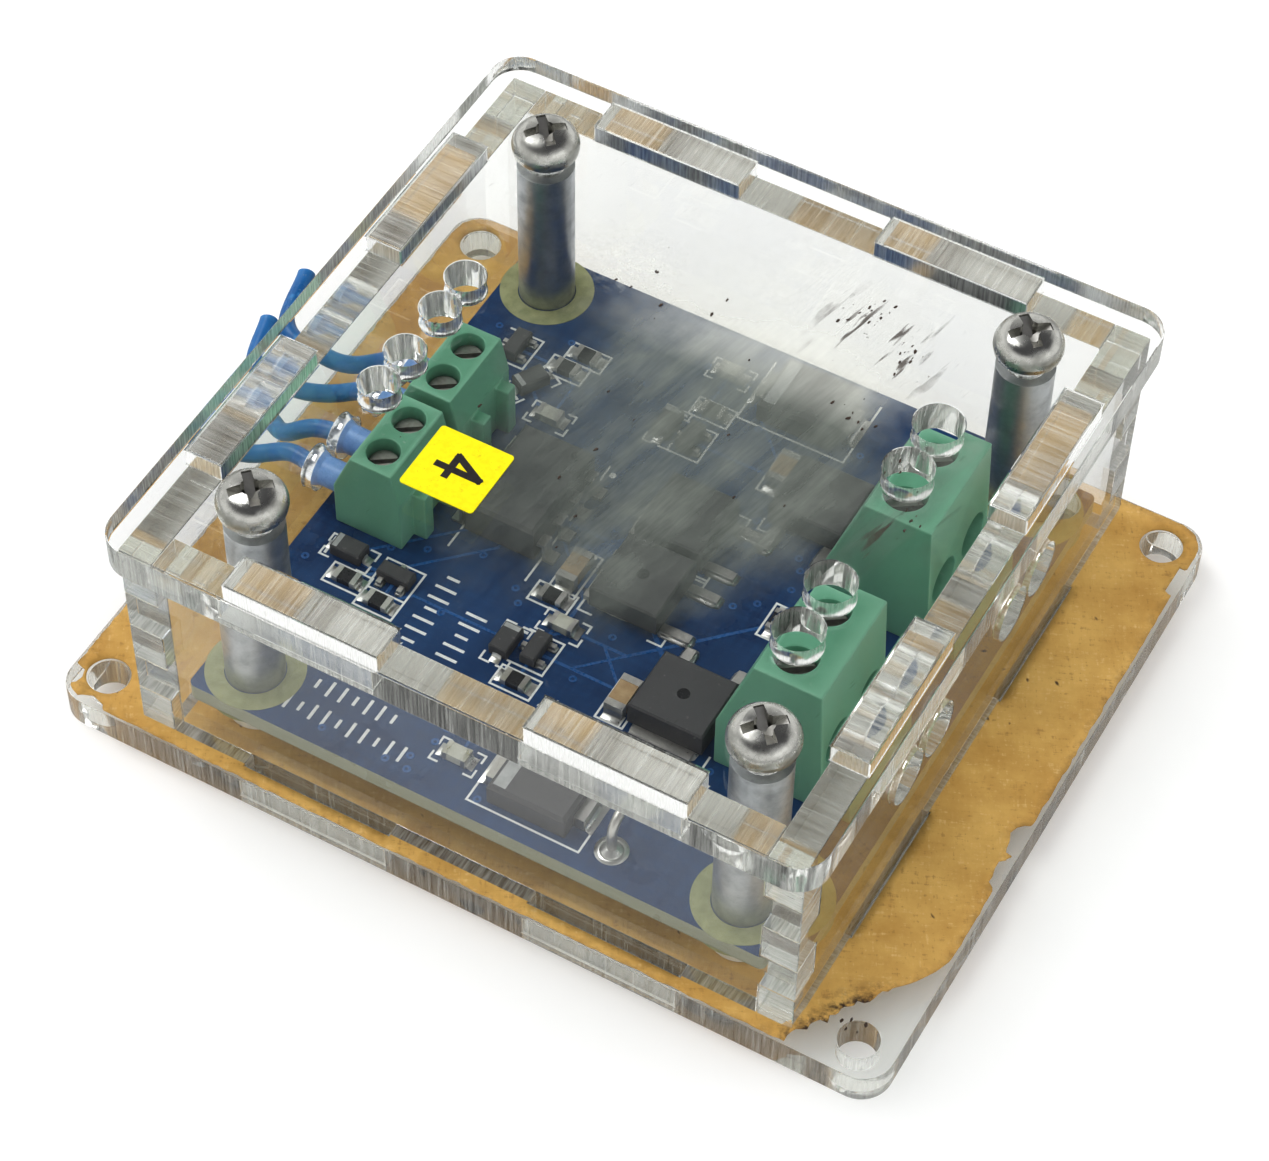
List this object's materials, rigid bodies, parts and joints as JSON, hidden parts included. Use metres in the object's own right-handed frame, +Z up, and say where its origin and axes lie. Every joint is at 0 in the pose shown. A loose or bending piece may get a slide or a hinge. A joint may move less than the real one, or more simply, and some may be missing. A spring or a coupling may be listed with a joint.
{
  "type": "solid state relay",
  "caption": "Two-channel solid state relay board in a slotted clear acrylic box, with green screw terminals, metal standoffs and a flanged base plate for screws.",
  "frame": {"origin": "centre of the square of base plate mounting holes, on the plate's underside", "axes": "+Z up through the lid, +X towards the large output terminals, +Y towards the back wall"},
  "size_m": [0.0759, 0.0604, 0.0281],
  "materials": {
    "acrylic": "clear cast acrylic sheet, laser cut edges",
    "kraft_paper": "brown masking paper, torn at the edges",
    "yellow_label": "printed yellow sticker",
    "screw_steel": "nickel plated, slightly tarnished",
    "standoff_metal": "turned, bare",
    "spacer_nylon": "natural nylon",
    "board_laminate": "blue solder mask on glass epoxy",
    "green_housing": "moulded, fine satin",
    "terminal_screw": "zinc plated",
    "clamp_metal": "nickel plated",
    "tinned_metal": "tin plated",
    "black_moulding": "epoxy moulding",
    "resistor_body": "ceramic with tinned ends",
    "capacitor_body": "tan ceramic with tinned ends",
    "led_lens": "clear resin",
    "wire_insulation": "blue PVC",
    "collar_plastic": "light blue polypropylene"
  },
  "bodies": {
    "enclosure": {"back_wall": "acrylic", "base_paper": "kraft_paper", "base_plate": "acrylic", "base_screws": "screw_steel", "board_spacers": "spacer_nylon", "chip_capacitors": "capacitor_body", "chip_resistors": "resistor_body", "circuit_board": "board_laminate", "diodes": "black_moulding", "driver_leads": "tinned_metal", "ferrule_collars": "collar_plastic", "front_input_terminal": "green_housing", "front_output_terminal": "green_housing", "front_wall": "acrylic", "gate_driver": "black_moulding", "indicator_leds": "led_lens", "input_pins": "tinned_metal", "left_wall": "acrylic", "mosfet_tabs": "tinned_metal", "mosfets": "black_moulding", "output_pins": "tinned_metal", "rear_input_terminal": "green_housing", "rear_output_terminal": "green_housing", "right_wall": "acrylic", "signal_wires": "wire_insulation", "standoffs": "standoff_metal", "suppressor_leads": "tinned_metal", "surge_suppressors": "black_moulding", "transistor_leads": "tinned_metal", "transistors": "black_moulding", "wire_ferrules": "tinned_metal", "wire_link": "tinned_metal"},
    "lid": {"lid": "acrylic", "number_label": "yellow_label"},
    "lid_screw_front_left": {"lid_screw_front_left": "screw_steel"},
    "lid_screw_front_right": {"lid_screw_front_right": "screw_steel"},
    "lid_screw_rear_left": {"lid_screw_rear_left": "screw_steel"},
    "lid_screw_rear_right": {"lid_screw_rear_right": "screw_steel"},
    "input_screw_1": {"input_screw_1": "terminal_screw"},
    "input_cage_1": {"input_cage_1": "clamp_metal"},
    "input_screw_2": {"input_screw_2": "terminal_screw"},
    "input_cage_2": {"input_cage_2": "clamp_metal"},
    "input_screw_3": {"input_screw_3": "terminal_screw"},
    "input_cage_3": {"input_cage_3": "clamp_metal"},
    "input_screw_4": {"input_screw_4": "terminal_screw"},
    "input_cage_4": {"input_cage_4": "clamp_metal"},
    "output_screw_1": {"output_screw_1": "terminal_screw"},
    "output_cage_1": {"output_cage_1": "clamp_metal"},
    "output_screw_2": {"output_screw_2": "terminal_screw"},
    "output_cage_2": {"output_cage_2": "clamp_metal"},
    "output_screw_3": {"output_screw_3": "terminal_screw"},
    "output_cage_3": {"output_cage_3": "clamp_metal"},
    "output_screw_4": {"output_screw_4": "terminal_screw"},
    "output_cage_4": {"output_cage_4": "clamp_metal"}
  },
  "joints": [
    {"name": "lid_lift", "type": "slide", "parent": "enclosure", "child": "lid", "axis": [0, 0, 1], "range_m": [0, 0.03]},
    {"name": "lid_screw_front_left_out", "type": "slide", "parent": "lid", "child": "lid_screw_front_left", "axis": [0, 0, 1], "range_m": [0, 0.01]},
    {"name": "lid_screw_front_right_out", "type": "slide", "parent": "lid", "child": "lid_screw_front_right", "axis": [0, 0, 1], "range_m": [0, 0.01]},
    {"name": "lid_screw_rear_left_out", "type": "slide", "parent": "lid", "child": "lid_screw_rear_left", "axis": [0, 0, 1], "range_m": [0, 0.01]},
    {"name": "lid_screw_rear_right_out", "type": "slide", "parent": "lid", "child": "lid_screw_rear_right", "axis": [0, 0, 1], "range_m": [0, 0.01]},
    {"name": "input_cage_1_slide", "type": "slide", "parent": "enclosure", "child": "input_cage_1", "axis": [0, 0, 1], "range_m": [-0.001, 0]},
    {"name": "input_screw_1_turn", "type": "hinge", "parent": "enclosure", "child": "input_screw_1", "pos_m": [-0.02, -0.00641, 0.014], "axis": [0, 0, 1], "range_deg": [0, 905]},
    {"name": "input_cage_2_slide", "type": "slide", "parent": "enclosure", "child": "input_cage_2", "axis": [0, 0, 1], "range_m": [-0.001, 0]},
    {"name": "input_screw_2_turn", "type": "hinge", "parent": "enclosure", "child": "input_screw_2", "pos_m": [-0.02, -0.0026, 0.014], "axis": [0, 0, 1], "range_deg": [0, 905]},
    {"name": "input_cage_3_slide", "type": "slide", "parent": "enclosure", "child": "input_cage_3", "axis": [0, 0, 1], "range_m": [-0.001, 0]},
    {"name": "input_screw_3_turn", "type": "hinge", "parent": "enclosure", "child": "input_screw_3", "pos_m": [-0.02, 0.0026, 0.014], "axis": [0, 0, 1], "range_deg": [0, 905]},
    {"name": "input_cage_4_slide", "type": "slide", "parent": "enclosure", "child": "input_cage_4", "axis": [0, 0, 1], "range_m": [-0.001, 0]},
    {"name": "input_screw_4_turn", "type": "hinge", "parent": "enclosure", "child": "input_screw_4", "pos_m": [-0.02, 0.00641, 0.014], "axis": [0, 0, 1], "range_deg": [0, 905]},
    {"name": "output_cage_1_slide", "type": "slide", "parent": "enclosure", "child": "output_cage_1", "axis": [0, 0, 1], "range_m": [0, 0.0015]},
    {"name": "output_screw_1_turn", "type": "hinge", "parent": "enclosure", "child": "output_screw_1", "pos_m": [0.019, -0.01139, 0.0182], "axis": [0, 0, 1], "range_deg": [-1085, 0]},
    {"name": "output_cage_2_slide", "type": "slide", "parent": "enclosure", "child": "output_cage_2", "axis": [0, 0, 1], "range_m": [0, 0.0015]},
    {"name": "output_screw_2_turn", "type": "hinge", "parent": "enclosure", "child": "output_screw_2", "pos_m": [0.019, -0.00631, 0.0182], "axis": [0, 0, 1], "range_deg": [-1085, 0]},
    {"name": "output_cage_3_slide", "type": "slide", "parent": "enclosure", "child": "output_cage_3", "axis": [0, 0, 1], "range_m": [0, 0.0015]},
    {"name": "output_screw_3_turn", "type": "hinge", "parent": "enclosure", "child": "output_screw_3", "pos_m": [0.019, 0.00631, 0.0182], "axis": [0, 0, 1], "range_deg": [-1085, 0]},
    {"name": "output_cage_4_slide", "type": "slide", "parent": "enclosure", "child": "output_cage_4", "axis": [0, 0, 1], "range_m": [0, 0.0015]},
    {"name": "output_screw_4_turn", "type": "hinge", "parent": "enclosure", "child": "output_screw_4", "pos_m": [0.019, 0.01139, 0.0182], "axis": [0, 0, 1], "range_deg": [-1085, 0]}
  ],
  "couplings": [
    {"joint": "input_screw_1_turn", "follows": "input_cage_1_slide", "rad_per_m": -15708},
    {"joint": "input_screw_2_turn", "follows": "input_cage_2_slide", "rad_per_m": -15708},
    {"joint": "input_screw_3_turn", "follows": "input_cage_3_slide", "rad_per_m": -15708},
    {"joint": "input_screw_4_turn", "follows": "input_cage_4_slide", "rad_per_m": -15708},
    {"joint": "output_screw_1_turn", "follows": "output_cage_1_slide", "rad_per_m": -12566},
    {"joint": "output_screw_2_turn", "follows": "output_cage_2_slide", "rad_per_m": -12566},
    {"joint": "output_screw_3_turn", "follows": "output_cage_3_slide", "rad_per_m": -12566},
    {"joint": "output_screw_4_turn", "follows": "output_cage_4_slide", "rad_per_m": -12566}
  ]
}
